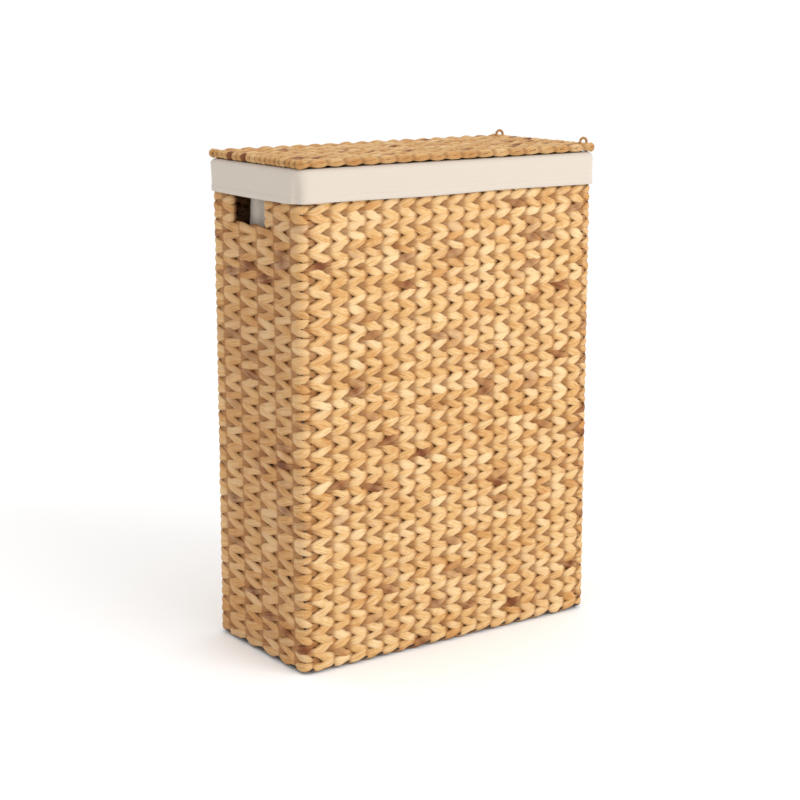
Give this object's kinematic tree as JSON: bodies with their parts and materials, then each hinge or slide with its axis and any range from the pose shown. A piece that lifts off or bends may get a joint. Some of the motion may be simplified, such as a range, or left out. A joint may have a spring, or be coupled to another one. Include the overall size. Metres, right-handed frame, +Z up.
{
  "type": "lidded woven laundry hamper",
  "caption": "Slim upright laundry hamper of twined water hyacinth on a wire cage, with a cotton liner folded over the rim, hand holes and a lid hinged on cord loops.",
  "frame": {"origin": "on the floor, under the middle of the hamper", "axes": "+Z up, +X towards the end wall that the lid hinges to, +Y towards the back long wall"},
  "size_m": [0.46, 0.216, 0.6372],
  "materials": {
    "weave": "satin dried plant fibre",
    "hinge_cord": "matte twisted cord",
    "liner_cotton": "matte plain weave",
    "cage_steel": "satin dark paint"
  },
  "bodies": {
    "hamper": {"top_rim_rod": "cage_steel", "base_wire_frame": "cage_steel", "corner_post_front_left": "cage_steel", "corner_post_front_right": "cage_steel", "corner_post_back_left": "cage_steel", "corner_post_back_right": "cage_steel", "front_stakes": "cage_steel", "back_stakes": "cage_steel", "left_stakes": "cage_steel", "right_stakes": "cage_steel", "front_weave": "weave", "back_weave": "weave", "left_weave_below_handle": "weave", "left_weave_above_handle": "weave", "left_weave_in_front_of_handle": "weave", "left_weave_behind_handle": "weave", "right_weave_below_handle": "weave", "right_weave_above_handle": "weave", "right_weave_in_front_of_handle": "weave", "right_weave_behind_handle": "weave", "base_weave": "weave", "liner_floor": "liner_cotton", "liner_front_panel": "liner_cotton", "liner_back_panel": "liner_cotton", "liner_left_panel": "liner_cotton", "liner_right_panel": "liner_cotton", "liner_cuff_front": "liner_cotton", "liner_cuff_back": "liner_cotton", "liner_cuff_left": "liner_cotton", "liner_cuff_right": "liner_cotton"},
    "hinge_loops": {"hinge_loop_front": "hinge_cord", "hinge_loop_back": "hinge_cord"},
    "lid": {"lid_weave": "weave", "lid_wire_frame": "cage_steel"}
  },
  "joints": [
    {"name": "loop_swing", "type": "hinge", "parent": "hamper", "child": "hinge_loops", "pos_m": [0.222, 0, 0.61], "axis": [0, 1, 0], "range_deg": [0, 90]},
    {"name": "lid_turn", "type": "hinge", "parent": "hinge_loops", "child": "lid", "pos_m": [0.222, 0, 0.6242], "axis": [0, 1, 0], "range_deg": [0, 180]}
  ],
  "couplings": [
    {"joint": "loop_swing", "follows": "lid_turn", "ratio": 0.5}
  ]
}
